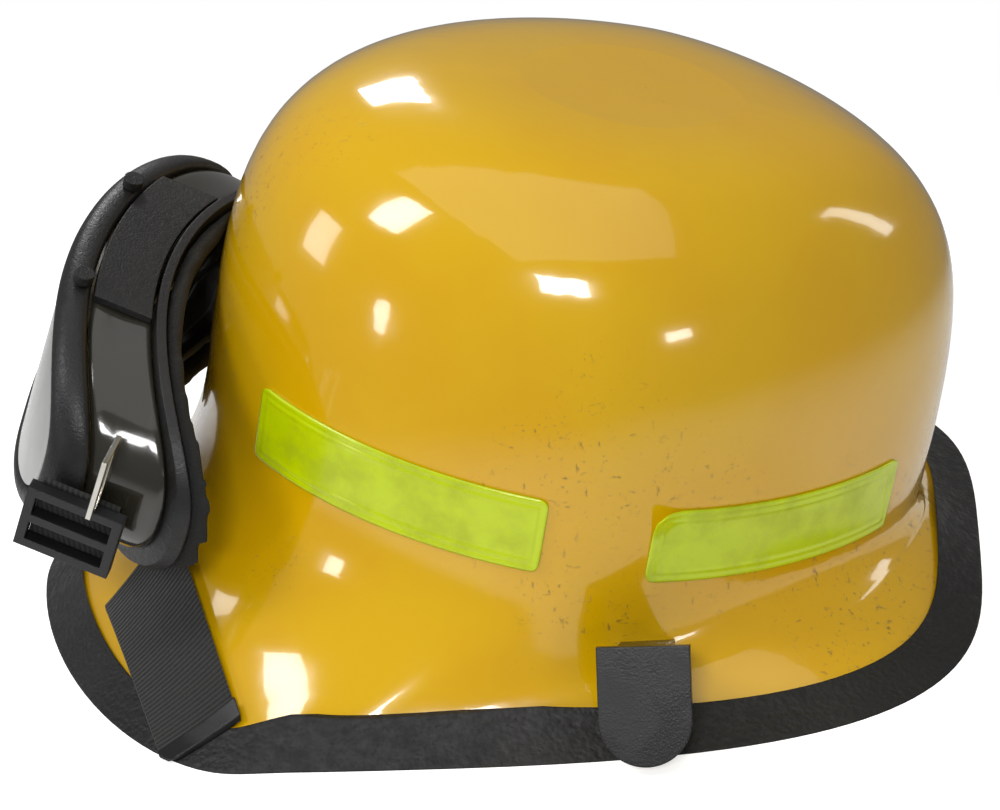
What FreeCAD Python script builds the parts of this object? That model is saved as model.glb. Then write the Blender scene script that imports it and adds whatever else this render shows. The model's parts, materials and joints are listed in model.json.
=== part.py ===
import FreeCAD, Part
import math
import os

import Sketcher
from FreeCAD import Placement, Rotation, Vector

doc = FreeCAD.newDocument("ForestryHelmet")
sheet = doc.addObject("Spreadsheet::Sheet", "Sizes")

# Driving dimensions in millimetres and degrees. The front is -X, the wearer's left is -Y, up is +Z,
# and the brim rests on the plane z = 0.
SIZES = {
    "brim_half_length": 153.8, "brim_half_width": 125.0, "brim_widest_x": -72.9,
    "brim_front_power": 1.6, "brim_rear_power": 3.7, "brim_flare": 0.5,
    "dome_front": 122.2, "dome_rear": 113.5, "dome_half_width": 100.5, "dome_height": 120.2,
    "dome_front_power": 1.95, "dome_rear_power": 1.65, "dome_rise_power": 3.75,
    "dome_x": 27.4, "dome_z": 49.0, "dome_tilt": 12.95,
    "shell_wall": 2.8, "fit_gap": 0.15, "soft_gap": 0.3,
    "trim_height": 12.0, "trim_wall": 1.9, "trim_reach": 11.5,
    "liner_wall": 12.0, "liner_bottom": 22.0,
    "tape_thickness": 0.7, "tape_width": 25.0, "tape_bottom": 2.0,
    "tape_front_start": 211.0, "tape_front_end": 266.5, "tape_rear_start": 285.0, "tape_rear_end": 339.0,
    "clip_x": 53.0, "clip_width": 28.0, "clip_length": 36.0, "clip_plate": 4.5, "clip_slope": 62.0,
    "clip_reach": 4.6, "screw_radius": 2.0, "screw_head": 4.0,
    "band_x": -8.0, "band_half_length": 95.0, "band_half_width": 78.0, "band_wall": 1.8,
    "band_height": 30.0, "band_bottom": -14.0, "band_split_x": 60.0, "nape_bottom": -26.0,
    "pad_wall": 5.0, "pad_half_width": 36.0, "webbing": 25.0, "webbing_wall": 1.6,
    "crown_rise": 98.0, "crown_span": 80.8, "crown_angle": 40.0, "crown_step": 4.0,
    "crown_pad_radius": 28.0, "crown_pad_wall": 4.0, "crown_pad_bottom": 82.0, "key_width": 14.0, "key_height": 14.0,
    "ratchet_z": -10.0, "housing_width": 44.0, "housing_height": 26.0, "housing_depth": 10.0, "housing_wall": 1.6,
    "pinion_radius": 5.0, "rack_wall": 2.0, "rack_height": 4.0, "knob_radius": 13.0, "knob_depth": 6.4,
    "shaft_radius": 3.0, "shaft_gap": 0.05,
    "chin_x": 70.0, "chin_half_span": 76.0, "chin_rise": 26.0, "buckle_width": 34.0, "buckle_length": 24.0,
    "buckle_height": 8.0,
    "goggle_half_width": 77.0, "goggle_half_height": 38.0, "goggle_radius": 140.0, "goggle_power": 2.6,
    "goggle_rim": 6.0, "goggle_frame_depth": 10.0, "goggle_body_depth": 20.0, "goggle_flange_depth": 3.0,
    "goggle_foam_depth": 6.0, "lens_wall": 1.8, "nose_radius": 24.0,
    "goggle_x": -137.0, "goggle_y": -6.0, "goggle_z": 101.0, "goggle_yaw": -6.0, "goggle_roll": 9.0, "goggle_tip": 24.0,
}
for row, (alias, value) in enumerate(SIZES.items(), start=1):
    sheet.set(f"A{row}", alias)
    sheet.set(f"B{row}", str(value))
    sheet.setAlias(f"B{row}", alias)
doc.recompute()


def size(alias):
    return float(sheet.get(alias))


subparts = []


def keep(obj, label):
    obj.Label = label
    subparts.append(obj)
    return obj


def feature(label, shape, place=Placement()):
    obj = doc.addObject("Part::Feature", label)
    own_place = shape.Placement
    obj.Shape = shape
    obj.Placement = place.multiply(own_place)
    return keep(obj, label)


# ---- the shell's surface: a boxy dome, tilted nose-up, that flares into a flat-edged brim
TILT = Rotation(Vector(0, 1, 0), size("dome_tilt"))
dome_place = Placement(Vector(size("dome_x"), 0, size("dome_z")), TILT)
CORNER_SOFTNESS = 0.012      # keeps the outline round where the two halves of an oval meet
EDGE_SPREAD = 1.25           # sideways share of an offset at the sloping brim edge
WIRE_POINTS = 72


def oval(angle, front, rear, half_width, front_power, rear_power):
    """Point of an egg-shaped outline with its own exponent for each end."""
    c, s = math.cos(angle), math.sin(angle)
    power = rear_power if c > 0 else front_power
    reach = rear if c > 0 else front
    soft = (c * c + CORNER_SOFTNESS) ** (power / 2) - CORNER_SOFTNESS ** (power / 2)
    full = (1 + CORNER_SOFTNESS) ** (power / 2) - CORNER_SOFTNESS ** (power / 2)
    radius = (soft / full + abs(s) ** power) ** (-1 / power)
    return reach * radius * c, half_width * radius * s


def dome_point(angle, rise, offset):
    """Dome surface in its own tilted frame; rise runs from 0 at its base to 1 at the crown."""
    x, y = oval(angle, size("dome_front") + offset, size("dome_rear") + offset,
                size("dome_half_width") + offset, size("dome_front_power"), size("dome_rear_power"))
    shrink = (1 - rise ** size("dome_rise_power")) ** (1 / size("dome_rise_power"))
    return Vector(x * shrink, y * shrink, rise * (size("dome_height") + offset))


def brim_edge(angle, offset):
    spread = EDGE_SPREAD * offset
    x, y = oval(angle, size("brim_half_length") + size("brim_widest_x") + spread,
                size("brim_half_length") - size("brim_widest_x") + spread,
                size("brim_half_width") + spread, size("brim_front_power"), size("brim_rear_power"))
    return Vector(x + size("brim_widest_x"), y, 0)


def flare_point(angle, step, offset):
    """Flare from the brim edge (step 0) to the dome's base (step 1), level with the dome's wall there."""
    base = dome_place.multVec(dome_point(angle, 0, offset))
    wall_up = TILT.multVec(Vector(0, 0, 1))
    bend = base - wall_up * (base.z * size("brim_flare") / wall_up.z)
    edge = brim_edge(angle, offset)
    return edge * (1 - step) ** 2 + bend * (2 * step * (1 - step)) + base * step ** 2


def level_point(angle, height, offset):
    """Flare point at one height above the rest plane."""
    low, high = -0.4, 1.0
    for _ in range(40):
        middle = (low + high) / 2
        if flare_point(angle, middle, offset).z < height:
            low = middle
        else:
            high = middle
    return flare_point(angle, low, offset)


def ring_wire(point_at, *values):
    angles = [2 * math.pi * (i + 0.5) / WIRE_POINTS for i in range(WIRE_POINTS)]
    curve = Part.BSplineCurve()
    curve.interpolate(Points=[point_at(a, *values) for a in angles], PeriodicFlag=True)
    return Part.Wire(curve.toShape())


def loft(wires):
    solid = Part.makeLoft(wires, True, False)
    if solid.Volume < 0:
        solid.reverse()
    return solid


DOME_RISES = (0.1, 0.22, 0.34, 0.46, 0.58, 0.69, 0.78, 0.86, 0.92, 0.96, 0.985, 0.997)
EDGE_LEVELS = (5.0, 8.5, 12.0)
FLARE_STEPS = (0.25, 0.5, 0.75, 0.95)


def tilted_dome_point(angle, rise, offset):
    return dome_place.multVec(dome_point(angle, rise, offset))


def upper_flare_point(angle, step, offset):
    """Flare point at a share of the height from the top edge level to the dome's base."""
    top = tilted_dome_point(angle, 0, offset).z
    return level_point(angle, EDGE_LEVELS[-1] + (top - EDGE_LEVELS[-1]) * step, offset)


OVERRUN = 60.0
far = 3 * OVERRUN


def outer_form(offset, bottom):
    """Closed solid of the whole shell form, offset outwards, standing on a flat bottom."""
    wires = [ring_wire(level_point, z, offset) for z in (bottom,) + EDGE_LEVELS if z <= bottom or z > bottom + 1]
    wires += [ring_wire(upper_flare_point, s, offset) for s in FLARE_STEPS]
    return loft(wires + [ring_wire(tilted_dome_point, r, offset) for r in DOME_RISES])


def edge_form(offset, low, high):
    return loft([ring_wire(level_point, z, offset) for z in (low,) + EDGE_LEVELS[:-1] + (high,)])


def dome_form(offset, low, high=None):
    """Closed solid of the dome alone, in its own frame, between two heights."""
    top = size("dome_height") + offset
    rises = [r for r in DOME_RISES if r * top > low + 3 and (high is None or r * top < high - 3)]
    ends = [low / top] + rises + ([high / top] if high is not None else [])
    return loft([ring_wire(dome_point, r, offset) for r in ends])


wall = size("shell_wall")
gap = size("fit_gap")
trim_wall = size("trim_wall")
trim_height = size("trim_height")
outside_form = outer_form(gap, trim_wall)

# ---- side clips: a flat tongue with a round nose, held off the brim by a seat block
clip_turn = Rotation(Vector(1, 0, 0), size("clip_slope"))


def clip_frame():
    """Frame on the tongue: X along the brim, Y up the tongue, Z out of the brim, for the left side."""
    origin = Vector(size("clip_x"), -(size("brim_half_width") + size("clip_reach")), 1.5)
    return Placement(origin, clip_turn)


def mirrored(shape):
    return shape.mirror(Vector(0, 0, 0), Vector(0, 1, 0))


half_clip = size("clip_width") / 2
nose = Part.makeCylinder(half_clip, size("clip_plate"), Vector(0, half_clip, 0))
tongue = Part.makeBox(size("clip_width"), size("clip_length") - half_clip, size("clip_plate"),
                      Vector(-half_clip, half_clip, 0))
SEAT_WIDTH = 16.0
SEAT_HEIGHT = 10.0
seat_y = size("clip_length") - SEAT_HEIGHT
seat = Part.makeBox(SEAT_WIDTH, SEAT_HEIGHT, 30, Vector(-SEAT_WIDTH / 2, seat_y, -30))
clip_shape = nose.fuse(tongue).removeSplitter().fuse(seat)
clip_shape.Placement = clip_frame()
clip_left = clip_shape.cut(outside_form)
seat_middle = Vector(0, seat_y + SEAT_HEIGHT / 2, 0)
seat_line = Part.makeLine(seat_middle, seat_middle - Vector(0, 0, 30))
seat_line.Placement = clip_frame()
seat_depth = seat_line.common(outside_form).distToShape(Part.Vertex(clip_frame().multVec(seat_middle)))[0]
HEAD_WALL = 2.0
head_depth = seat_depth + wall + HEAD_WALL
head_seat = seat_middle - Vector(0, 0, head_depth)
screw_hole = Part.makeCylinder(size("screw_radius") + gap, head_depth + 2, head_seat)
screw_hole.Placement = clip_frame()
screw_left = Part.makeCylinder(size("screw_radius"), head_depth + 1, head_seat)
screw_left = screw_left.fuse(Part.makeCylinder(size("screw_head"), HEAD_WALL, head_seat - Vector(0, 0, HEAD_WALL)))
screw_left.Placement = clip_frame()

shell_shape = outer_form(0, trim_wall).cut(outer_form(-wall, trim_wall - 1))
shell_shape = shell_shape.cut(screw_hole).cut(mirrored(screw_hole))
feature("shell", shell_shape)

trim_ring = edge_form(trim_wall, 0, trim_height).cut(edge_form(-wall - trim_wall, -1, trim_height + 1))
slot = edge_form(gap, trim_wall - gap, trim_height + 1)
slot = slot.cut(edge_form(-wall - gap, trim_wall - gap - 1, trim_height + 2))
reach_wire = ring_wire(brim_edge, -size("trim_reach") / EDGE_SPREAD)
reach_column = Part.Face(reach_wire).extrude(Vector(0, 0, 2 * OVERRUN))
reach_column.translate(Vector(0, 0, -OVERRUN))
feature("edge_trim", Part.makeCompound(trim_ring.cut(slot).cut(reach_column).Solids))
feature("side_clip_left", clip_left.cut(screw_hole))
feature("side_clip_right", mirrored(clip_left.cut(screw_hole)))
feature("clip_screws", Part.makeCompound([screw_left, mirrored(screw_left)]))

# ---- reflective tapes: thin patches that follow the dome just above its base
tape_top = size("tape_bottom") + size("tape_width")
tape_skin = dome_form(gap + size("tape_thickness"), size("tape_bottom"), tape_top)
tape_skin = tape_skin.cut(dome_form(gap, size("tape_bottom") - 1, tape_top + 1))


def wedge(start, end):
    """Upright three-cornered block from the dome's middle between two plan directions."""
    corners = [Vector(0, 0, -OVERRUN)]
    for degrees in (start, end):
        turn = math.radians(degrees)
        corners.append(Vector(3 * OVERRUN * math.cos(turn), 3 * OVERRUN * math.sin(turn), -OVERRUN))
    face = Part.Face(Part.makePolygon(corners + corners[:1]))
    return face.extrude(Vector(0, 0, 3 * OVERRUN))


for position in ("front", "rear"):
    patch = tape_skin.common(wedge(size(f"tape_{position}_start"), size(f"tape_{position}_end")))
    feature(f"tape_{position}_left", patch, dome_place)
    feature(f"tape_{position}_right", mirrored(patch), dome_place)

# ---- impact liner: foam cap inside the dome
liner = dome_form(-wall - gap, size("liner_bottom"))
liner = liner.cut(dome_form(-wall - gap - size("liner_wall"), size("liner_bottom") - 1))
feature("impact_liner", liner, dome_place)


# ---- headband, nape band and their pads: rings of one oval, cut into pieces
def ellipse_column(centre, long_half, short_half, height):
    edge = Part.Ellipse(centre, long_half, short_half).toShape()
    return Part.Face(Part.Wire(edge)).extrude(Vector(0, 0, height))


def oval_ring(outset, thickness, bottom, height):
    long_half = size("band_half_length") + outset
    short_half = size("band_half_width") + outset
    centre = Vector(size("band_x"), 0, bottom)
    outer = ellipse_column(centre, long_half, short_half, height)
    return outer.cut(ellipse_column(centre, long_half - thickness, short_half - thickness, height))


def block(x_range, half_width, bottom, height):
    return Part.makeBox(x_range[1] - x_range[0], 2 * half_width, height, Vector(x_range[0], -half_width, bottom))


soft = size("soft_gap")
band_bottom, band_height = size("band_bottom"), size("band_height")
split = size("band_split_x")
headband = oval_ring(0, size("band_wall"), band_bottom, band_height)
feature("headband", headband.cut(block((split, far), far, -far, 2 * far)), dome_place)
nape = oval_ring(0, size("band_wall"), size("nape_bottom"), band_height)
feature("nape_band", nape.common(block((split + soft, far), far, -far, 2 * far)), dome_place)
pad_outset = -size("band_wall") - soft
pad_half = size("pad_half_width")
brow = oval_ring(pad_outset, size("pad_wall"), band_bottom + 2, band_height - 4)
feature("brow_pad", brow.common(block((-far, 0), pad_half, -far, 2 * far)), dome_place)
nape_pad = oval_ring(pad_outset, size("pad_wall"), size("nape_bottom") + 2, band_height - 4)
feature("nape_pad", nape_pad.common(block((0, far), pad_half, -far, 2 * far)), dome_place)

# ---- crown straps: two flat webbing arches that cross under the crown, their pad and their keys
webbing, webbing_wall = size("webbing"), size("webbing_wall")


def arch(rise):
    span = size("crown_span")
    middle = Vector(0, 0, -webbing / 2)
    strip = ellipse_column(middle, rise, span, webbing)
    strip = strip.cut(ellipse_column(middle, rise - webbing_wall, span - webbing_wall, webbing))
    strip.rotate(Vector(0, 0, 0), Vector(0, 0, 1), 90)
    strip.rotate(Vector(0, 0, 0), Vector(1, 0, 0), 90)
    return strip.common(block((-far, far), far, -4, far))


def on_band(shape, degrees):
    shape = shape.copy()
    shape.rotate(Vector(0, 0, 0), Vector(0, 0, 1), degrees)
    shape.translate(Vector(size("band_x"), 0, 0))
    return shape


for name, degrees, drop in (("crown_strap_upper", size("crown_angle"), 0),
                            ("crown_strap_lower", -size("crown_angle"), size("crown_step"))):
    feature(name, on_band(arch(size("crown_rise") - drop), degrees), dome_place)

pad = doc.addObject("Part::Cylinder", "CrownPad")
pad.setExpression("Radius", "Sizes.crown_pad_radius")
pad.setExpression("Height", "Sizes.crown_pad_wall")
pad.Placement = dome_place.multiply(Placement(Vector(size("band_x"), 0, size("crown_pad_bottom")), Rotation()))
keep(pad, "crown_pad")

room = outer_form(-wall - gap, trim_height + 1)
keys = []
key_width, key_height = size("key_width"), size("key_height")
band_inside = ellipse_column(Vector(size("band_x"), 0, -far), size("band_half_length") + soft,
                             size("band_half_width") + soft, 2 * far)
for degrees in (size("crown_angle"), -size("crown_angle"), 180 - size("crown_angle"), 180 + size("crown_angle")):
    key = Part.makeBox(far, key_width, key_height, Vector(0, -key_width / 2, -key_height / 2 + 6))
    key = on_band(key, degrees).cut(band_inside)
    key.Placement = dome_place.multiply(key.Placement)
    keys.append(key.common(room))
feature("strap_keys", Part.makeCompound([solid for key in keys for solid in key.Solids]))

# ---- ratchet: housing, pinion with its shaft and knob, and two rack tails that it drives
ratchet_face = size("band_x") + size("band_half_length") + soft
ratchet_z = size("ratchet_z")
housing_depth, housing_wall = size("housing_depth"), size("housing_wall")
ratchet_place = dome_place.multiply(Placement(Vector(ratchet_face, 0, ratchet_z), Rotation()))


def plane_of(body, role):
    return next(f for f in body.Origin.OriginFeatures if f.Role == role)


def new_body(label, place):
    body = doc.addObject("PartDesign::Body", label)
    body.Placement = place
    return keep(body, label)


def new_sketch(body, name, role):
    sketch = body.newObject("Sketcher::SketchObject", name)
    sketch.AttachmentSupport = (plane_of(body, role), [""])
    sketch.MapMode = "FlatFace"
    return sketch


def add_rectangle(sketch, width, height):
    """Rectangle centred on the sketch's origin; width and height are expressions on the sheet."""
    first = sketch.GeometryCount
    corners = [Vector(-5, -5, 0), Vector(5, -5, 0), Vector(5, 5, 0), Vector(-5, 5, 0)]
    for i in range(4):
        sketch.addGeometry(Part.LineSegment(corners[i], corners[(i + 1) % 4]), False)
    for i in range(4):
        sketch.addConstraint(Sketcher.Constraint("Coincident", first + i, 2, first + (i + 1) % 4, 1))
    for i, kind in enumerate(("Horizontal", "Vertical", "Horizontal", "Vertical")):
        sketch.addConstraint(Sketcher.Constraint(kind, first + i))
    sketch.addConstraint(Sketcher.Constraint("Symmetric", first, 1, first + 2, 1, -1, 1))
    across = sketch.addConstraint(Sketcher.Constraint("DistanceX", first, 1, first, 2, 10))
    along = sketch.addConstraint(Sketcher.Constraint("DistanceY", first + 1, 1, first + 1, 2, 10))
    sketch.setExpression(f"Constraints[{across}]", width)
    sketch.setExpression(f"Constraints[{along}]", height)


def add_circle(sketch, radius):
    first = sketch.addGeometry(Part.Circle(Vector(0, 0, 0), Vector(0, 0, 1), 5), False)
    sketch.addConstraint(Sketcher.Constraint("Coincident", first, 3, -1, 1))
    ring = sketch.addConstraint(Sketcher.Constraint("Radius", first, 5))
    sketch.setExpression(f"Constraints[{ring}]", radius)


def pad_on(body, sketch, name, length):
    pad = body.newObject("PartDesign::Pad", name)
    pad.Profile = sketch
    pad.setExpression("Length", length)
    doc.recompute()
    return pad


def pocket_on(body, sketch, name, length):
    before = body.Shape.Volume
    pocket = body.newObject("PartDesign::Pocket", name)
    pocket.Profile = sketch
    pocket.setExpression("Length", length)
    doc.recompute()
    if body.Shape.Volume > before - 1e-6:
        pocket.Reversed = True
        doc.recompute()
    if body.Shape.Volume > before - 1e-6:
        raise RuntimeError(f"{name} cuts nothing")
    return pocket


housing = new_body("ratchet_housing", ratchet_place)
outline = new_sketch(housing, "HousingOutline", "YZ_Plane")
add_rectangle(outline, "Sizes.housing_width", "Sizes.housing_height")
pad_on(housing, outline, "HousingBlock", "Sizes.housing_depth")
tunnel = new_sketch(housing, "HousingTunnel", "XZ_Plane")
tunnel_low = tunnel.addGeometry(Part.LineSegment(Vector(1, -9, 0), Vector(8, -9, 0)), False)
tunnel.addGeometry(Part.LineSegment(Vector(8, -9, 0), Vector(8, 9, 0)), False)
tunnel.addGeometry(Part.LineSegment(Vector(8, 9, 0), Vector(1, 9, 0)), False)
tunnel.addGeometry(Part.LineSegment(Vector(1, 9, 0), Vector(1, -9, 0)), False)
for i in range(4):
    tunnel.addConstraint(Sketcher.Constraint("Coincident", i, 2, (i + 1) % 4, 1))
for i, kind in enumerate(("Horizontal", "Vertical", "Horizontal", "Vertical")):
    tunnel.addConstraint(Sketcher.Constraint(kind, i))
for name, (kind, edge, start, other, end), value in (
        ("inset", ("DistanceX", -1, 1, 0, 1), "Sizes.housing_wall"),
        ("depth", ("DistanceX", 0, 1, 0, 2), "Sizes.housing_depth - 2 * Sizes.housing_wall"),
        ("drop", ("DistanceY", 0, 1, -1, 1), "Sizes.housing_height / 2 - Sizes.housing_wall"),
        ("rise", ("DistanceY", 1, 1, 1, 2), "Sizes.housing_height - 2 * Sizes.housing_wall")):
    index = tunnel.addConstraint(Sketcher.Constraint(kind, edge, start, other, end, 5))
    tunnel.setExpression(f"Constraints[{index}]", value)
through = pocket_on(housing, tunnel, "HousingTunnelCut", "Sizes.housing_width * 2")
through.Midplane = True
doc.recompute()
bore_sketch = new_sketch(housing, "ShaftBore", "YZ_Plane")
bore_sketch.AttachmentOffset = Placement(Vector(0, 0, housing_depth), Rotation())
add_circle(bore_sketch, "Sizes.shaft_radius + Sizes.shaft_gap")
pocket_on(housing, bore_sketch, "ShaftBoreCut", "Sizes.housing_wall * 1.5")

TOOTH_COUNT = 10
TOOTH_WIDTH = 1.1
TOOTH_DEPTH = 0.9
pinion_radius, rack_wall, rack_height = size("pinion_radius"), size("rack_wall"), size("rack_height")
rack_start = (housing_depth - rack_wall) / 2
along_x = Vector(1, 0, 0)
pinion = Part.makeCylinder(pinion_radius - TOOTH_DEPTH, rack_wall, Vector(rack_start, 0, 0), along_x)
for i in range(TOOTH_COUNT):
    tooth = Part.makeBox(rack_wall, TOOTH_WIDTH, pinion_radius + TOOTH_DEPTH - 0.2, Vector(rack_start, -TOOTH_WIDTH / 2, 0))
    tooth.rotate(Vector(0, 0, 0), along_x, 360 * (i + 0.5) / TOOTH_COUNT)
    pinion = pinion.fuse(tooth)
shaft_start = rack_start + rack_wall
knob_start = housing_depth + 0.4
shaft = Part.makeCylinder(size("shaft_radius"), knob_start - shaft_start, Vector(shaft_start, 0, 0), along_x)
feature("ratchet_pinion", pinion.removeSplitter().fuse(shaft), ratchet_place)

knob = new_body("ratchet_knob", ratchet_place.multiply(Placement(Vector(knob_start, 0, 0), Rotation())))
knob_sketch = new_sketch(knob, "KnobOutline", "YZ_Plane")
add_circle(knob_sketch, "Sizes.knob_radius")
pad_on(knob, knob_sketch, "KnobDisc", "Sizes.knob_depth")
grip_sketch = new_sketch(knob, "GripScallop", "YZ_Plane")
grip = grip_sketch.addGeometry(Part.Circle(Vector(0, 14, 0), Vector(0, 0, 1), 2), False)
reach = grip_sketch.addConstraint(Sketcher.Constraint("DistanceY", -1, 1, grip, 3, 14))
grip_sketch.addConstraint(Sketcher.Constraint("PointOnObject", grip, 3, -2))
bite = grip_sketch.addConstraint(Sketcher.Constraint("Radius", grip, 2))
grip_sketch.setExpression(f"Constraints[{reach}]", "Sizes.knob_radius + 0.8")
grip_sketch.setExpression(f"Constraints[{bite}]", "Sizes.knob_radius * 0.16")
grip_cut = pocket_on(knob, grip_sketch, "GripCut", "Sizes.knob_depth * 2")
grip_cut.Midplane = True
doc.recompute()
pattern = knob.newObject("PartDesign::PolarPattern", "GripPattern")
pattern.Originals = [grip_cut]
pattern.Axis = (plane_of(knob, "X_Axis"), [""])
pattern.Angle = 360
pattern.Occurrences = 12
knob.Tip = pattern
doc.recompute()
screw_sketch = new_sketch(knob, "ScrewSeat", "YZ_Plane")
screw_sketch.AttachmentOffset = Placement(Vector(0, 0, size("knob_depth")), Rotation())
add_circle(screw_sketch, "Sizes.screw_head + Sizes.fit_gap")
pocket_on(knob, screw_sketch, "ScrewSeatCut", "Sizes.housing_wall")

screw = doc.addObject("Part::Cylinder", "KnobScrew")
screw.setExpression("Radius", "Sizes.screw_head")
screw.setExpression("Height", "Sizes.housing_wall")
screw_x = knob_start + size("knob_depth") - housing_wall
screw.Placement = ratchet_place.multiply(Placement(Vector(screw_x, 0, 0), Rotation(Vector(0, 1, 0), 90)))
keep(screw, "knob_screw")

pitch = 2 * math.pi * pinion_radius / TOOTH_COUNT
RACK_INNER, RACK_OUTER = 12.0, 34.0


def rack(side):
    """Toothed strip above the pinion; side -1 runs to the wearer's left."""
    tooth_line = pinion_radius + TOOTH_DEPTH + 0.3
    low_end = -RACK_OUTER if side < 0 else -RACK_INNER
    strip = Part.makeBox(rack_wall, RACK_INNER + RACK_OUTER, rack_height, Vector(rack_start, low_end, tooth_line))
    for i in range(-3, 3):
        middle = pitch * (i + (0.0 if TOOTH_COUNT % 4 == 2 else 0.5))
        tooth = Part.makeBox(rack_wall, TOOTH_WIDTH, TOOTH_DEPTH * 2,
                             Vector(rack_start, middle - TOOTH_WIDTH / 2, tooth_line - TOOTH_DEPTH * 2 + 0.3))
        strip = strip.fuse(tooth)
    return strip.removeSplitter()


upper_rack = rack(-1)
lower_rack = rack(-1)
lower_rack.rotate(Vector(0, 0, 0), along_x, 180)
feature("rack_tail_left", upper_rack, ratchet_place)
feature("rack_tail_right", lower_rack, ratchet_place)

# ---- chin strap, stowed across the rear of the opening, with a side-release buckle
chin_x, chin_half, chin_rise = size("chin_x"), size("chin_half_span"), size("chin_rise")
BUCKLE_LIFT = 0.3
strap_top = BUCKLE_LIFT + webbing_wall
buckle_half = size("buckle_length")
strap_inner = buckle_half / 3


def chin_strap(side):
    """Webbing that lies on the rest plane and climbs to its anchor inside the shell."""
    x = chin_x - webbing / 2
    flat = Part.makeBox(webbing, chin_half - strap_inner, webbing_wall, Vector(x, -chin_half, BUCKLE_LIFT))
    climb = Part.makeBox(webbing, webbing_wall, chin_rise, Vector(x, -chin_half, BUCKLE_LIFT))
    strap = flat.fuse(climb).removeSplitter()
    return strap if side < 0 else mirrored(strap)


feature("chin_strap_left", chin_strap(-1))
feature("chin_strap_right", chin_strap(1))
anchor = Part.makeBox(webbing - 5, 40, 10, Vector(chin_x - webbing / 2 + 2.5, -chin_half - 40 - soft, chin_rise - 9))
anchor = anchor.common(room)
feature("chin_anchors", Part.makeCompound([anchor, mirrored(anchor)]))

socket_place = Placement(Vector(chin_x, -buckle_half / 2, strap_top + soft), Rotation())
socket = new_body("buckle_socket", socket_place)
socket_sketch = new_sketch(socket, "SocketOutline", "XY_Plane")
add_rectangle(socket_sketch, "Sizes.buckle_width", "Sizes.buckle_length")
pad_on(socket, socket_sketch, "SocketBlock", "Sizes.buckle_height")
mouth_sketch = new_sketch(socket, "SocketMouth", "XZ_Plane")
mouth_sketch.AttachmentOffset = Placement(Vector(0, size("buckle_height") / 2, -buckle_half / 2), Rotation())
add_rectangle(mouth_sketch, "Sizes.buckle_width - 4 * Sizes.housing_wall", "Sizes.buckle_height - 2 * Sizes.housing_wall")
pocket_on(socket, mouth_sketch, "SocketMouthCut", "Sizes.buckle_length - 3 * Sizes.housing_wall")

PRONG_LENGTH = 16.0
PRONG_GAP = 0.5
prong_height = size("buckle_height") - 2 * housing_wall - 2 * PRONG_GAP
prong_half = size("buckle_width") / 2 - 2 * housing_wall - PRONG_GAP
tongue_base = Part.makeBox(size("buckle_width"), 12, size("buckle_height"),
                           Vector(chin_x - size("buckle_width") / 2, 0.4, strap_top + soft))
bar_slot = Part.makeBox(webbing + 2, 4, 30, Vector(chin_x - webbing / 2 - 1, 5.4, 0))
tongue_base = tongue_base.cut(bar_slot)
prong_z = strap_top + soft + housing_wall + PRONG_GAP
for near in (-prong_half, prong_half - 4, -2):
    tongue_base = tongue_base.fuse(Part.makeBox(4, PRONG_LENGTH + 1, prong_height,
                                                Vector(chin_x + near, -PRONG_LENGTH, prong_z)))
feature("buckle_tongue", tongue_base.removeSplitter())

# ---- goggles: every piece is an oval prism cut from a curved layer, X along the width, Y forwards, Z up
goggle_turn = Rotation(Vector(0, 0, 1), size("goggle_yaw") + 90)
goggle_turn = goggle_turn.multiply(Rotation(Vector(1, 0, 0), size("goggle_tip")))
goggle_turn = goggle_turn.multiply(Rotation(Vector(0, 1, 0), -size("goggle_roll")))
goggle_place = Placement(Vector(size("goggle_x"), size("goggle_y"), size("goggle_z")), goggle_turn)
gog_w, gog_h, gog_r = size("goggle_half_width"), size("goggle_half_height"), size("goggle_radius")
rim = size("goggle_rim")
frame_depth = size("goggle_frame_depth")
body_back = frame_depth + soft + size("goggle_body_depth")
flange_back = body_back + soft + size("goggle_flange_depth")
foam_back = flange_back + soft + size("goggle_foam_depth")


def goggle_prism(half_width, half_height):
    """Oval column along Y with a notch for the nose."""
    power = size("goggle_power")
    points = []
    for i in range(WIRE_POINTS):
        turn = 2 * math.pi * (i + 0.5) / WIRE_POINTS
        c, s = math.cos(turn), math.sin(turn)
        radius = (abs(c) ** power + abs(s) ** power) ** (-1 / power)
        points.append(Vector(half_width * radius * c, -far, half_height * radius * s))
    curve = Part.BSplineCurve()
    curve.interpolate(Points=points, PeriodicFlag=True)
    column = Part.Face(Part.Wire(curve.toShape())).extrude(Vector(0, 2 * far, 0))
    drop = gog_h - half_height
    notch_radius = size("nose_radius") + drop
    notch = Part.makeCylinder(notch_radius, 4 * far, Vector(0, -2 * far, -gog_h - 8), Vector(0, 1, 0))
    return column.cut(notch)


def layer(front, back):
    """Curved slab between two depths behind the goggle's front."""
    middle = Vector(0, -gog_r, -far)
    return Part.makeCylinder(gog_r - front, 2 * far, middle).cut(Part.makeCylinder(gog_r - back, 2 * far, middle)) \
        .common(Part.makeBox(2 * far, far, 2 * far, Vector(-far, -gog_r, -far)))


shell_room = outer_form(gap + size("tape_thickness") + soft, trim_height)
shell_room.Placement = goggle_place.inverse()


def goggle_ring(label, outset, inset, front, back, meets_shell=False):
    """Oval ring between two depths; a soft one takes the shell's shape where it leans on it."""
    ring = goggle_prism(gog_w + outset, gog_h + outset).cut(goggle_prism(gog_w - inset, gog_h - inset))
    ring = ring.common(layer(front, back))
    if meets_shell:
        ring = ring.cut(shell_room)
    return feature(label, Part.makeCompound(ring.Solids), goggle_place)


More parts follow.
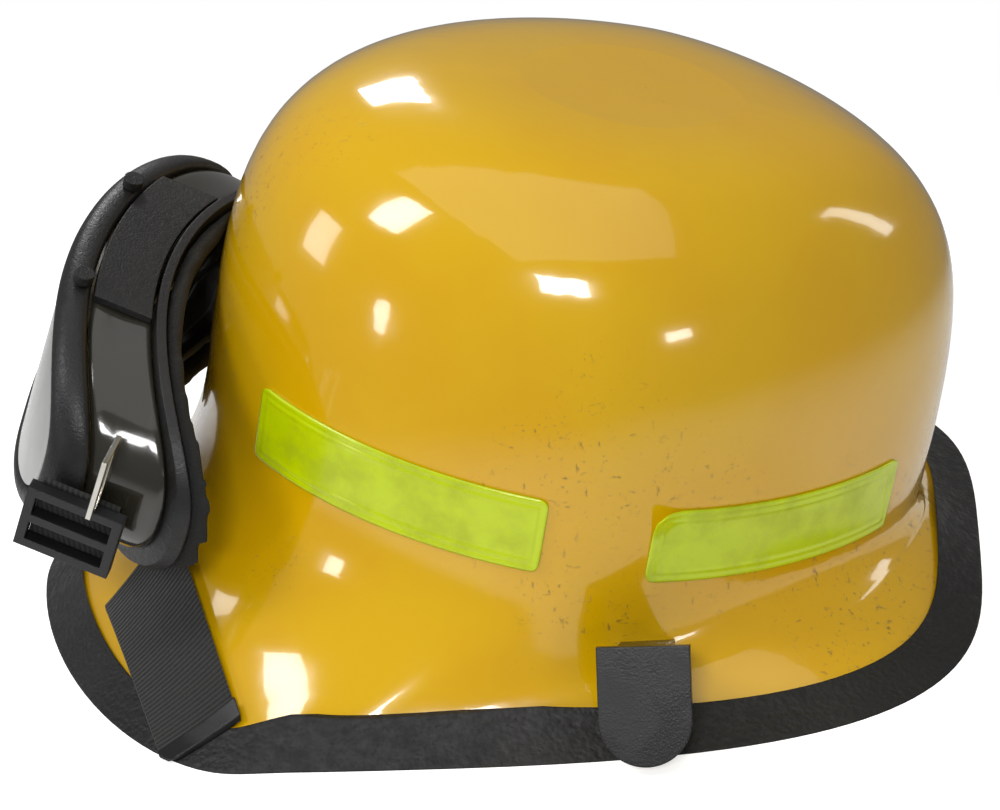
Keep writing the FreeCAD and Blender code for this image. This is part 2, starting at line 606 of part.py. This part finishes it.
FRAME_OUTSET = 2.0
LENS_INSET = 0.8
goggle_ring("goggle_frame", FRAME_OUTSET, rim, 0, frame_depth)
lens = goggle_prism(gog_w - rim - gap, gog_h - rim - gap).common(layer(LENS_INSET, LENS_INSET + size("lens_wall")))
feature("goggle_lens", lens, goggle_place)
goggle_ring("goggle_body", 0, 3.5, frame_depth + soft, body_back)
goggle_ring("goggle_flange", 3.5, 7, body_back + soft, flange_back, meets_shell=True)
goggle_ring("goggle_foam", 2, 6, flange_back + soft, foam_back, meets_shell=True)
VENT_HALF = 34.0
vent = goggle_prism(gog_w + 3, gog_h + 2.6).cut(goggle_prism(gog_w + soft, gog_h + soft))
vent = vent.common(layer(frame_depth + 1, body_back - 1))
vent = vent.common(Part.makeBox(2 * VENT_HALF, 2 * far, far, Vector(-VENT_HALF, -far, 0)))
feature("goggle_vent_cover", vent, goggle_place)
TAB_RADIUS = 3.2
tabs = []
for across in (-30.0, 22.0):
    sag = gog_r - math.sqrt(gog_r ** 2 - across ** 2)
    near = (abs(across) - TAB_RADIUS) / (gog_w + FRAME_OUTSET)
    top = (gog_h + FRAME_OUTSET) * (1 - near ** size("goggle_power")) ** (1 / size("goggle_power"))
    tabs.append(Part.makeCylinder(TAB_RADIUS, TAB_RADIUS, Vector(across, -sag - frame_depth + TAB_RADIUS, top + soft)))
feature("lens_tabs", Part.makeCompound(tabs), goggle_place)

# ---- strap hardware at the two ends of the goggles, and the webbing tail that drapes over the brim
LOOP_RISE = 16.0
LOOP_HEIGHT = 24.0
LOOP_LENGTH = 14.0
BAR = 3.0
end_sag = gog_r - math.sqrt(gog_r ** 2 - gog_w ** 2)
loop_y = -end_sag - frame_depth - 3 * BAR
loop_x = gog_w + soft
loop = Part.makeBox(LOOP_LENGTH, webbing_wall, LOOP_HEIGHT, Vector(loop_x, loop_y, LOOP_RISE - LOOP_HEIGHT / 2))
loop = loop.cut(Part.makeBox(LOOP_LENGTH - 3 * BAR, 4 * BAR, LOOP_HEIGHT - BAR,
                             Vector(loop_x + 2 * BAR, loop_y - BAR, LOOP_RISE - LOOP_HEIGHT / 2 + BAR / 2)))
LOCK_DROP = 9.0
LOCK_LENGTH = 24.0
LOCK_WALL = 4.5
lock_width = webbing + 2 * BAR
lock_x = loop_x + LOOP_LENGTH - 3 * BAR
lock_y = loop_y + 2 * BAR
lock = Part.makeBox(LOCK_WALL, lock_width, LOCK_LENGTH, Vector(lock_x, lock_y - lock_width / 2, -LOCK_DROP - LOCK_LENGTH / 2))
for low in (-LOCK_LENGTH / 2 + BAR, BAR / 2):
    lock = lock.cut(Part.makeBox(3 * LOCK_WALL, webbing, LOCK_LENGTH / 2 - 1.5 * BAR,
                                 Vector(lock_x - LOCK_WALL, lock_y - webbing / 2, -LOCK_DROP + low)))
strap_low = -LOCK_DROP - LOCK_LENGTH / 2 - BAR
strap_high = LOOP_RISE - LOOP_HEIGHT / 2 - soft
strap = Part.makeBox(webbing_wall, webbing, strap_high - strap_low,
                     Vector(lock_x - soft - webbing_wall, lock_y - webbing / 2, strap_low))
for name, shape in (("strap_loop", loop), ("ladder_lock", lock), ("goggle_strap", strap)):
    feature(f"{name}_right", shape, goggle_place)
    feature(f"{name}_left", shape.mirror(Vector(0, 0, 0), Vector(1, 0, 0)), goggle_place)

TAIL_TOP = Vector(-114, -46, 0)
TAIL_END = Vector(-84, -117, 0)
TIP_LENGTH = 6.0
tail_lift = trim_wall + soft
tail_skin = outer_form(tail_lift + webbing_wall, 1).cut(outer_form(tail_lift, 0))
tip_skin = outer_form(tail_lift + 2 * webbing_wall, 1).cut(outer_form(tail_lift, 0))
tail_run = TAIL_END - TAIL_TOP
tail_turn = Rotation(Vector(1, 0, 0), tail_run)


def tail_piece(skin, start, end, width):
    """Part of a skin over the brim along the tail's run, between two lengths from its top."""
    column = Part.makeBox(end - start, width, far, Vector(start, -width / 2, 0))
    column.Placement = Placement(TAIL_TOP, tail_turn)
    return skin.common(column)


tail_length = tail_run.Length
feature("strap_tail_left", tail_piece(tail_skin, 0, tail_length - TIP_LENGTH - gap, webbing))
feature("strap_tip_left", tail_piece(tip_skin, tail_length - TIP_LENGTH, tail_length, webbing + 1))

doc.recompute()
for obj in doc.Objects:
    if "Invalid" in obj.State or "Error" in obj.State:
        raise RuntimeError(f"{obj.Label}: {obj.State}")
os.makedirs("parts", exist_ok=True)
for obj in subparts:
    shape = obj.Shape
    if shape.isNull() or not shape.isValid():
        raise RuntimeError(f"{obj.Label} has no sound shape")
    if not shape.Solids:
        raise RuntimeError(f"{obj.Label} holds no solid")
    box = shape.BoundBox
    print(f"{obj.Label:20s} solids {len(shape.Solids)} volume {shape.Volume:10.0f} "
          f"x {box.XMin:7.1f} {box.XMax:7.1f} y {box.YMin:7.1f} {box.YMax:7.1f} z {box.ZMin:7.1f} {box.ZMax:7.1f}")
    shape.exportStep(os.path.join("parts", f"{obj.Label}.step"))
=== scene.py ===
import json
import math
import bmesh
import bpy
from mathutils import Matrix, Vector


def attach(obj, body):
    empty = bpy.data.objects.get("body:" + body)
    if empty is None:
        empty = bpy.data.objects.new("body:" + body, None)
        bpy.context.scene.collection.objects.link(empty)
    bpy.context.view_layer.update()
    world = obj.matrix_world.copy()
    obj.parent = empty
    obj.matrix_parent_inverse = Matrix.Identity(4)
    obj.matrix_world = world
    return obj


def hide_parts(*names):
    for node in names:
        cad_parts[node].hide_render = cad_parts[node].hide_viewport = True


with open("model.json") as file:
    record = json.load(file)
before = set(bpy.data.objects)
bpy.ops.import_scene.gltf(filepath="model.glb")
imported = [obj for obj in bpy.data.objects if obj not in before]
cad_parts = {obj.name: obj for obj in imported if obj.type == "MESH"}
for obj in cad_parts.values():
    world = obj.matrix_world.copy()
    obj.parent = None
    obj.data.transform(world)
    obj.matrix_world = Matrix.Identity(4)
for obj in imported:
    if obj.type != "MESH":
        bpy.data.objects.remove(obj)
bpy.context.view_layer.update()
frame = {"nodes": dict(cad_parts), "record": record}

millimetre = 0.001
nodes = frame["nodes"]


cameraSettings = {"azimuth": 11.8, "elevation": 27.38, "roll": 7.47, "distance": 1.1, "lens": 120.3,
                  "target": (-0.07574, 0.0, 0.06), "pan": 3.0, "shift": (0.0622, -0.0029)}
studioSettings = {"paper": (1.0, 1.0, 1.0), "paperReach": 0.42, "paperGlow": 0.62, "paperMargin": 1.2,
                  "fadeStart": 0.55, "worldLevel": 0.2, "distance": 1.5, "aim": (0, 0, 0.09)}
# Each lamp: azimuth and elevation seen from the helmet, power in watts, width and height in metres
lampSettings = {
    "topSoftbox": (-163, 38, 5.0, 0.34, 0.26),
    "windowUpper": (-66, 47, 5.0, 0.30, 0.50),
    "windowMiddle": (-2, 33, 5.5, 0.34, 0.26),
    "windowFront": (-55, 5, 0.8, 0.12, 0.24),
    "sideLamp": (38, 4, 0.7, 0.22, 0.10),
    "frontLamp": (-84, 18, 1.5, 0.30, 0.40),
    "rearLamp": (112, 20, 1.0, 0.14, 0.60),
    "skyPanel": (20, 78, 5.0, 1.60, 1.60),
}


def makeCamera(settings):
    azimuth, elevation, roll = (math.radians(settings[k]) for k in ("azimuth", "elevation", "roll"))
    level = math.cos(elevation)
    back = Vector((math.sin(azimuth) * level, -math.cos(azimuth) * level, math.sin(elevation)))
    right = Vector((math.cos(azimuth), math.sin(azimuth), 0))
    up = back.cross(right)
    rolledRight = right * math.cos(roll) - up * math.sin(roll)
    rolledUp = right * math.sin(roll) + up * math.cos(roll)
    turn = Matrix((rolledRight, rolledUp, back)).transposed().to_4x4()
    place = Matrix.Translation(Vector(settings["target"]) + back * settings["distance"])
    camera = bpy.data.objects.new("camera", bpy.data.cameras.new("camera"))
    bpy.context.collection.objects.link(camera)
    camera.matrix_world = place @ turn @ Matrix.Rotation(-math.radians(settings["pan"]), 4, "Y")
    camera.data.lens = settings["lens"]
    camera.data.shift_x, camera.data.shift_y = settings["shift"]
    camera.data.clip_start = 0.01
    bpy.context.scene.camera = camera


makeCamera(cameraSettings)
bpy.context.scene.view_settings.view_transform = "Standard"
print("camera ready")


class Value:
    # a socket that takes arithmetic
    def __init__(self, graph, socket):
        self.graph, self.socket = graph, socket

    def maths(self, operation, other, swapped=False):
        first, second = (other, self) if swapped else (self, other)
        return self.graph.add("ShaderNodeMath", {0: first, 1: second}, operation=operation)

    def __add__(self, other):
        return self.maths("ADD", other)

    def __radd__(self, other):
        return self.maths("ADD", other)

    def __sub__(self, other):
        return self.maths("SUBTRACT", other)

    def __rsub__(self, other):
        return self.maths("SUBTRACT", other, True)

    def __mul__(self, other):
        return self.maths("MULTIPLY", other)

    def __rmul__(self, other):
        return self.maths("MULTIPLY", other)


class Graph:
    # one material and its nodes
    def __init__(self, name):
        self.material = bpy.data.materials.new(name)
        self.material.use_nodes = True
        self.tree = self.material.node_tree
        self.tree.nodes.clear()

    def add(self, kind, inputs=None, output=0, **settings):
        node = self.tree.nodes.new(kind)
        for key, value in settings.items():
            setattr(node, key, value)
        for key, value in (inputs or {}).items():
            if isinstance(value, Value):
                self.tree.links.new(value.socket, node.inputs[key])
            else:
                node.inputs[key].default_value = value
        return Value(self, node.outputs[output]) if node.outputs else node

    def place(self, scale=(1, 1, 1), turn=(0, 0, 0)):
        source = self.add("ShaderNodeTexCoord", output="Object")
        turned = tuple(math.radians(a) for a in turn)
        return self.add("ShaderNodeMapping", {"Vector": source, "Rotation": turned, "Scale": scale})

    def noise(self, place, scale, detail=4, rough=0.5):
        return self.add("ShaderNodeTexNoise", {"Vector": place, "Scale": scale, "Detail": detail, "Roughness": rough})

    def band(self, value, low, high, start=0.0, end=1.0):
        inputs = {"Value": value, "From Min": low, "From Max": high, "To Min": start, "To Max": end}
        return self.add("ShaderNodeMapRange", inputs, interpolation_type="SMOOTHSTEP")

    def blend(self, factor, first, second):
        inputs = {0: factor, 6: first, 7: second}
        return self.add("ShaderNodeMix", inputs, output=2, data_type="RGBA")

    def relief(self, height, distance, strength=1.0, normal=None):
        inputs = {"Height": height, "Distance": distance, "Strength": strength}
        if normal is not None:
            inputs["Normal"] = normal
        return self.add("ShaderNodeBump", inputs)

    def softEdge(self, radius):
        return self.add("ShaderNodeBevel", {"Radius": radius}, samples=4)

    def finish(self, **inputs):
        named = {key.replace("_", " "): value for key, value in inputs.items()}
        shader = self.add("ShaderNodeBsdfPrincipled", named)
        self.add("ShaderNodeOutputMaterial", {"Surface": shader})
        return self.material


def colour(red, green, blue):
    return (red, green, blue, 1.0)


shellPaint = {"yellow": colour(0.93, 0.54, 0.001), "warm": colour(0.88, 0.44, 0.001), "scuff": colour(0.33, 0.16, 0.01)}


def makeShellPaint(settings):
    g = Graph("glossyYellowShell")
    here = g.place()
    cloud = g.band(g.noise(here, 16, 3), 0.38, 0.66)
    streaks = g.noise(g.place((1, 1, 0.35), (20, 35, 10)), 420, 5, 0.7)
    crossing = g.noise(g.place((0.3, 1, 1), (-30, 10, 55)), 500, 5, 0.7)
    patches = g.band(g.noise(here, 11, 2), 0.53, 0.64)
    specks = g.band(g.noise(here, 900, 1), 0.71, 0.76)
    scratches = g.band(streaks, 0.62, 0.66) + g.band(crossing, 0.625, 0.665)
    worn = g.add("ShaderNodeMath", {0: scratches * patches + specks * patches * 0.8, 1: 1.0}, operation="MINIMUM")
    base = g.blend(cloud * 0.4, settings["yellow"], settings["warm"])
    ripple = g.noise(here, 55, 1)
    bump = g.relief(ripple * 1.0 - worn * 0.25, 0.0006, 0.35)
    return g.finish(Base_Color=g.blend(worn * 0.75, base, settings["scuff"]),
                    Roughness=g.band(worn + cloud * 0.1, 0, 1, 0.14, 0.5), Normal=bump,
                    Coat_Weight=1.0, Coat_Roughness=0.04, IOR=1.5)


def makeRubber(name, tint, grain, depth, low=0.45, high=0.7):
    g = Graph(name)
    here = g.place()
    pebbles = g.add("ShaderNodeTexVoronoi", {"Vector": here, "Scale": grain}, feature="SMOOTH_F1")
    folds = g.noise(g.place((1, 1, 1.6)), grain * 0.35, 5, 0.65)
    height = pebbles * 0.7 + folds
    dust = g.band(g.noise(here, 30, 4), 0.45, 0.75)
    base = g.blend(dust * 0.5, colour(tint, tint, tint), colour(tint * 2.4, tint * 2.3, tint * 2.2))
    return g.finish(Base_Color=base, Roughness=g.band(folds, 0.3, 0.7, low, high),
                    Normal=g.relief(height, depth, 0.8, g.softEdge(0.0006)))


def makeMoulded(name, base, low, high, grain=1400, depth=0.00008, edge=0.0007):
    g = Graph(name)
    here = g.place()
    fine = g.noise(here, grain, 3)
    wear = g.band(g.noise(here, 60, 5), 0.4, 0.7)
    lighter = tuple(min(1.0, c * 1.5 + 0.004) for c in base[:3]) + (1.0,)
    return g.finish(Base_Color=g.blend(wear * 0.5, base, lighter), Roughness=g.band(wear, 0, 1, low, high),
                    Normal=g.relief(fine, depth, 0.6, g.softEdge(edge)))


def makeTape():
    g = Graph("limeReflectiveTape")
    here = g.place()
    cells = g.add("ShaderNodeTexVoronoi", {"Vector": here, "Scale": 900}, output="Distance")
    grime = g.band(g.noise(here, 70, 5, 0.6), 0.42, 0.7)
    base = g.blend(grime * 0.45, colour(0.66, 0.82, 0.0), colour(0.42, 0.50, 0.0))
    # painted glow: a faint lime emission makes the tape shine though it is no lamp, dimmer where the grime lies
    paintedGlow = g.blend(grime, colour(0.30, 0.40, 0.0), colour(0.12, 0.16, 0.0))
    return g.finish(Base_Color=base, Roughness=g.band(grime, 0, 1, 0.22, 0.42), Emission_Color=paintedGlow,
                    Emission_Strength=0.12, Coat_Weight=0.6, Coat_Roughness=0.12, Normal=g.relief(cells, 0.00005, 0.4))


def makeWebbing(name, tint, turn, pitch=1.6):
    g = Graph(name)
    along = g.place((1, 1, 1), turn)
    split = g.add("ShaderNodeSeparateXYZ", {"Vector": along}, output=0)
    scale = 2 * math.pi / (pitch * millimetre)
    ribs = g.add("ShaderNodeMath", {0: split * scale}, operation="SINE")
    threads = g.noise(g.place((1, 1, 1), turn), 1500, 2)
    height = g.band(ribs, -1, 1) + threads * 0.5
    # painted shade: the valleys between the ribs are coloured darker, as the shade that falls between them
    shadedValley = tint * 0.4
    base = g.blend(g.band(height, 0.2, 1.3), colour(shadedValley, shadedValley, shadedValley), colour(tint, tint, tint * 0.95))
    return g.finish(Base_Color=base, Roughness=g.band(threads, 0.3, 0.7, 0.7, 0.9), Sheen_Weight=0.2,
                    Normal=g.relief(height, 0.0003, 0.8))


def makeFoam(name, tint, scale=900):
    g = Graph(name)
    here = g.place()
    pores = g.add("ShaderNodeTexVoronoi", {"Vector": here, "Scale": scale}, output="Distance")
    patches = g.band(g.noise(here, 40, 4), 0.35, 0.7)
    base = g.blend(patches * 0.5, colour(tint, tint, tint), colour(tint * 1.8, tint * 1.8, tint * 1.7))
    return g.finish(Base_Color=base, Roughness=g.band(patches, 0, 1, 0.82, 0.95), Normal=g.relief(pores, 0.0003, 0.7))


def makeMetal(name, low, high):
    g = Graph(name)
    brushed = g.noise(g.place((1, 1, 12)), 500, 4)
    tarnish = g.band(g.noise(g.place(), 90, 4), 0.4, 0.75)
    base = g.blend(tarnish * 0.5, colour(0.78, 0.76, 0.70), colour(0.45, 0.41, 0.34))
    return g.finish(Base_Color=base, Metallic=1.0, Roughness=g.band(brushed, 0.3, 0.7, low, high),
                    Normal=g.relief(brushed, 0.00005, 0.4, g.softEdge(0.0004)))


def makeClear(name, tint, alpha, rough):
    g = Graph(name)
    haze = g.band(g.noise(g.place(), 45, 5), 0.35, 0.7)
    deeper = tuple(c * 0.6 for c in tint[:3]) + (1.0,)
    return g.finish(Base_Color=g.blend(haze * 0.6, tint, deeper),
                    Alpha=g.band(haze, 0, 1, alpha, min(1.0, alpha + 0.08)),
                    Roughness=g.band(haze, 0, 1, rough, rough + 0.12), Coat_Weight=1.0, Coat_Roughness=0.05,
                    Normal=g.relief(haze, 0.0002, 0.2, g.softEdge(0.001)))


materials = {
    "shell_yellow": makeShellPaint(shellPaint),
    "trim_rubber": makeRubber("pebbledBlackRubber", 0.012, 620, 0.0007),
    "tape_lime": makeTape(),
    "clip_black": makeMoulded("satinBlackPlastic", colour(0.012, 0.012, 0.013), 0.28, 0.45),
    "band_plastic": makeMoulded("cradlePlastic", colour(0.02, 0.02, 0.022), 0.35, 0.55),
    "steel": makeMetal("brushedSteel", 0.25, 0.4),
    "nickel": makeMetal("brightNickel", 0.12, 0.25),
    "liner_foam": makeFoam("blackLinerFoam", 0.02),
    "foam_dark": makeFoam("gogglesFoam", 0.015, 1200),
    "pad_fabric": makeWebbing("brushedPadCloth", 0.035, (0, 0, 45), 1.1),
    "webbing": makeWebbing("blackWebbing", 0.03, (0, 0, 0)),
    "goggle_rubber": makeRubber("gogglesRubber", 0.014, 1500, 0.00015, 0.34, 0.5),
    "lens_clear": makeClear("frostedLens", colour(0.62, 0.62, 0.60), 0.9, 0.3),
    "goggle_smoke": makeClear("smokedPlastic", colour(0.035, 0.032, 0.022), 0.93, 0.12),
}
tailWebbing = makeWebbing("tailWebbing", 0.03, (0, 0, 67))
bodyOf = {name: body for body, names in frame["record"]["behaviour"]["bodies"].items() for name in names}
slotOf = {part["node"]: part["material_slot"] for part in frame["record"]["subparts"]}


def dress(piece, material):
    piece.data.materials.clear()
    piece.data.materials.append(material)


for name, piece in nodes.items():
    dress(piece, materials[slotOf[name]])
dress(nodes["strap_tail_left"], tailWebbing)
print("materials ready")


padSettings = {"voxel": 0.0022, "smooth": 10, "relax": 0.5, "lumpSize": 0.02, "lumpMiddle": 0.6, "fill": 0.8,
               "nodes": ("brow_pad", "nape_pad", "crown_pad", "goggle_foam"),
               "rough": 0.0005}


def settle(piece):
    # applies the modifiers and leaves a plain mesh
    shaped = bpy.data.meshes.new_from_object(piece.evaluated_get(bpy.context.evaluated_depsgraph_get()))
    piece.modifiers.clear()
    piece.data = shaped


def makePad(name, settings):
    mesh = nodes[name].data.copy()
    pad = bpy.data.objects.new("soft" + name.title().replace("_", ""), mesh)
    bpy.context.collection.objects.link(pad)
    remesh = pad.modifiers.new("cells", "REMESH")
    remesh.mode = "VOXEL"
    remesh.voxel_size = settings["voxel"]
    relax = pad.modifiers.new("relax", "SMOOTH")
    relax.iterations = settings["smooth"]
    relax.factor = settings["relax"]
    texture = bpy.data.textures.new("padSurface", "CLOUDS")
    texture.noise_scale = settings["lumpSize"]
    lumps = pad.modifiers.new("lumps", "DISPLACE")
    lumps.texture = texture
    lumps.strength = settings["rough"]
    lumps.mid_level = settings["lumpMiddle"]
    finer = pad.modifiers.new("finer", "SUBSURF")
    finer.levels = finer.render_levels = 1
    settle(pad)
    for face in pad.data.polygons:
        face.use_smooth = True
    dress(pad, materials[slotOf[name]])
    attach(pad, bodyOf[name])
    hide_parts(name)


for name in padSettings["nodes"]:
    makePad(name, padSettings)
print("pads ready")


domeSettings = {"front": 122.2, "rear": 113.5, "halfWidth": 100.5, "height": 120.2, "frontPower": 1.95,
                "rearPower": 1.65, "risePower": 3.75, "centre": (27.4, 0, 49.0), "tilt": 12.95, "softness": 0.012}
tapeSettings = {"bottom": 2.0, "width": 25.0, "lift": 0.8, "corner": 3.2, "ridge": 0.28, "columns": 150, "rows": 44,
                "spans": {"front": (211.0, 266.5), "rear": (285.0, 339.0)}, "peel": 5.0, "peelReach": 11.0,
                "underside": 0.16, "slack": 1.04}


def domePoint(planAngle, height, lift, settings):
    front, rear = settings["front"] + lift, settings["rear"] + lift
    side, tall = settings["halfWidth"] + lift, settings["height"] + lift
    reach = rear if math.cos(planAngle) > 0 else front
    angle = math.atan2(math.sin(planAngle) / side, math.cos(planAngle) / reach)
    c, s = math.cos(angle), math.sin(angle)
    power = settings["rearPower"] if c > 0 else settings["frontPower"]
    soft = settings["softness"]
    blunt = ((c * c + soft) ** (power / 2) - soft ** (power / 2)) / ((1 + soft) ** (power / 2) - soft ** (power / 2))
    radius = (blunt + abs(s) ** power) ** (-1 / power)
    shrink = (1 - (height / tall) ** settings["risePower"]) ** (1 / settings["risePower"])
    local = Vector((reach * radius * c * shrink, side * radius * s * shrink, height))
    turn = Matrix.Rotation(math.radians(settings["tilt"]), 3, "Y")
    return (turn @ local + Vector(settings["centre"])) * millimetre


def newPiece(name, vertices, faces):
    mesh = bpy.data.meshes.new(name)
    mesh.from_pydata([tuple(v) for v in vertices], [], faces)
    tidy = bmesh.new()
    tidy.from_mesh(mesh)
    bmesh.ops.remove_doubles(tidy, verts=tidy.verts, dist=1e-6)
    bmesh.ops.recalc_face_normals(tidy, faces=tidy.faces)
    tidy.to_mesh(mesh)
    tidy.free()
    for face in mesh.polygons:
        face.use_smooth = True
    piece = bpy.data.objects.new(name, mesh)
    bpy.context.collection.objects.link(piece)
    return piece


def register(piece, node):
    # the piece takes a CAD node's place, body and slot
    dress(piece, materials[slotOf[node]])
    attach(piece, bodyOf[node])
    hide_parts(node)


def ridgeHeight(inset, ridge):
    # two raised lines round the border
    return sum(ridge * math.exp(-((inset - middle) / width) ** 2) for middle, width in ((1.0, 0.7), (3.4, 0.55)))


def makeTapePatch(position, side, settings):
    start, end = (math.radians(a) for a in settings["spans"][position])
    peels = position == "rear" and side < 0
    straight = math.dist(domePoint(start, 15, 1, domeSettings), domePoint(end, 15, 1, domeSettings)) / millimetre
    length = straight * settings["slack"]
    corner, width = settings["corner"], settings["width"]
    vertices, faces = [], []
    for layer in (0, 1):
        for row in range(settings["rows"] + 1):
            across = width * row / settings["rows"]
            edge = min(across, width - across)
            cut = corner - math.sqrt(corner ** 2 - (corner - edge) ** 2) if edge < corner else 0.0
            for column in range(settings["columns"] + 1):
                along = cut + (length - 2 * cut) * column / settings["columns"]
                inset = min(edge, along, length - along)
                lift = settings["lift"] + ridgeHeight(inset, settings["ridge"]) if layer else settings["underside"]
                if peels:
                    away = math.hypot(along, width - across)
                    lift += settings["peel"] * max(0.0, 1 - away / settings["peelReach"]) ** 2
                angle = start + (end - start) * along / length
                point = domePoint(angle, settings["bottom"] + across, lift, domeSettings)
                vertices.append(Vector((point.x, -side * point.y, point.z)))
    across, along = settings["rows"] + 1, settings["columns"] + 1
    layerSize = across * along
    for row in range(across - 1):
        for column in range(along - 1):
            a = row * along + column
            faces.append((a, a + 1, a + along + 1, a + along))
            faces.append(tuple(layerSize + i for i in (a, a + along, a + along + 1, a + 1)))
    rim = list(range(along)) + [r * along + along - 1 for r in range(1, across)]
    rim += [(across - 1) * along + c for c in range(along - 2, -1, -1)] + [r * along for r in range(across - 2, 0, -1)]
    for first, second in zip(rim, rim[1:] + rim[:1]):
        faces.append((first, second, layerSize + second, layerSize + first))
    name = position + ("LeftTape" if side < 0 else "RightTape")
    node = f"tape_{position}_" + ("left" if side < 0 else "right")
    register(newPiece(name, vertices, faces), node)


for position in ("front", "rear"):
    for side in (-1, 1):
        makeTapePatch(position, side, tapeSettings)
print("tapes ready")


goggleSettings = {"place": (-137.0, -6.0, 101.0), "yaw": -6.0, "tip": 24.0, "roll": 9.0, "halfWidth": 77.0,
                  "halfHeight": 38.0, "power": 2.6, "wrap": 140.0, "noseRadius": 24.0, "noseDrop": 8.0, "steps": 220}
# Each section: points as outset from the outline and depth behind the front
bezelSection = ((-6.0, 2.6), (-5.6, 0.9), (-4.2, 0.1), (-2.2, 0.0), (-0.2, 0.7), (1.3, 2.4), (1.95, 5.0), (2.0, 8.0),
                (1.4, 9.9), (-1.5, 10.0), (-5.0, 9.4), (-6.0, 7.0))
bodySection = ((0.0, 10.3), (-0.15, 14.0), (-0.6, 19.0), (-0.5, 24.0), (0.0, 28.0), (0.0, 30.3), (-3.4, 30.3),
               (-3.5, 20.0), (-3.5, 10.4))


def goggleTurn(settings):
    turn = Matrix.Rotation(math.radians(settings["yaw"] + 90), 4, "Z")
    turn = turn @ Matrix.Rotation(math.radians(settings["tip"]), 4, "X")
    turn = turn @ Matrix.Rotation(-math.radians(settings["roll"]), 4, "Y")
    return Matrix.Translation(Vector(settings["place"]) * millimetre) @ turn


def goggleOutline(angle, outset, settings):
    # rounded oval with a notch for the nose
    power = settings["power"]
    c, s = math.cos(angle), math.sin(angle)
    radius = (abs(c) ** power + abs(s) ** power) ** (-1 / power)
    x, z = (settings["halfWidth"] + outset) * radius * c, (settings["halfHeight"] + outset) * radius * s
    notch = settings["noseRadius"] - outset
    floor = -settings["halfHeight"] - settings["noseDrop"]
    if z < 0 and abs(x) < notch:
        z = max(z, floor + math.sqrt(notch ** 2 - x ** 2))
    return x, z


def wrapped(x, depth, z, settings):
    # lays a flat oval's point on the curved front
    radius = settings["wrap"] - depth
    return Vector((x, -settings["wrap"] + math.sqrt(max(radius ** 2 - x ** 2, 0.0)), z)) * millimetre


def makeGoggleRing(name, node, section, settings):
    vertices, faces = [], []
    turn = goggleTurn(settings)
    steps, count = settings["steps"], len(section)
    for step in range(steps):
        angle = 2 * math.pi * step / steps
        for outset, depth in section:
            x, z = goggleOutline(angle, outset, settings)
            vertices.append(turn @ wrapped(x, depth, z, settings))
    for step in range(steps):
        for i in range(count):
            a, b = step * count + i, step * count + (i + 1) % count
            c, d = (step + 1) % steps * count + (i + 1) % count, (step + 1) % steps * count + i
            faces.append((a, b, c, d))
    ring = newPiece(name, vertices, faces)
    finer = ring.modifiers.new("finer", "SUBSURF")
    finer.levels = finer.render_levels = 1
    settle(ring)
    register(ring, node)


makeGoggleRing("gogglesBezel", "goggle_frame", bezelSection, goggleSettings)
makeGoggleRing("gogglesSideBody", "goggle_body", bodySection, goggleSettings)
print("goggles ready")


def makeStudio(settings, lamps):
    g = Graph("paleFloor")
    here = g.place()
    reach = g.add("ShaderNodeVectorMath", {0: here}, output="Value", operation="LENGTH")
    fade = g.band(reach, settings["paperReach"] * settings["fadeStart"], settings["paperReach"])
    paper = g.add("ShaderNodeBsdfDiffuse", {"Color": colour(*settings["paper"])})
    clear = g.add("ShaderNodeBsdfTransparent")
    white = g.add("ShaderNodeEmission", {"Color": colour(1, 1, 1), "Strength": settings["paperGlow"]})
    lit = g.add("ShaderNodeAddShader", {0: paper, 1: white})
    seen = g.add("ShaderNodeLightPath", output="Is Camera Ray")
    soft = g.add("ShaderNodeMixShader", {0: seen, 1: paper, 2: lit})
    g.add("ShaderNodeOutputMaterial", {"Surface": g.add("ShaderNodeMixShader", {0: fade, 1: soft, 2: clear})})
    mesh = bpy.data.meshes.new("floor")
    size = settings["paperReach"] * settings["paperMargin"]
    mesh.from_pydata([(-size, -size, 0), (size, -size, 0), (size, size, 0), (-size, size, 0)], [], [(0, 1, 2, 3)])
    mesh.materials.append(g.material)
    floor = bpy.data.objects.new("floor", mesh)
    bpy.context.collection.objects.link(floor)
    world = bpy.data.worlds.new("studio")
    bpy.context.scene.world = world
    world.use_nodes = True
    tree = world.node_tree
    tree.nodes.clear()
    path = tree.nodes.new("ShaderNodeLightPath")
    level = tree.nodes.new("ShaderNodeMapRange")
    level.inputs["To Min"].default_value = settings["worldLevel"]
    level.inputs["To Max"].default_value = 1.0
    surround = tree.nodes.new("ShaderNodeBackground")
    surround.inputs["Color"].default_value = colour(1, 1, 1)
    output = tree.nodes.new("ShaderNodeOutputWorld")
    tree.links.new(path.outputs["Is Camera Ray"], level.inputs["Value"])
    tree.links.new(level.outputs["Result"], surround.inputs["Strength"])
    tree.links.new(surround.outputs["Background"], output.inputs["Surface"])
    for name, (azimuth, elevation, power, width, height) in lamps.items():
        light = bpy.data.lights.new(name, "AREA")
        light.energy = power
        light.shape = "RECTANGLE"
        light.size, light.size_y = width, height
        lamp = bpy.data.objects.new(name, light)
        bpy.context.collection.objects.link(lamp)
        turn, rise = math.radians(azimuth), math.radians(elevation)
        towards = Vector((math.sin(turn) * math.cos(rise), -math.cos(turn) * math.cos(rise), math.sin(rise)))
        lamp.location = Vector(settings["aim"]) + towards * settings["distance"]
        lamp.rotation_euler = towards.to_track_quat("Z", "Y").to_euler()


makeStudio(studioSettings, lampSettings)
print("studio ready")
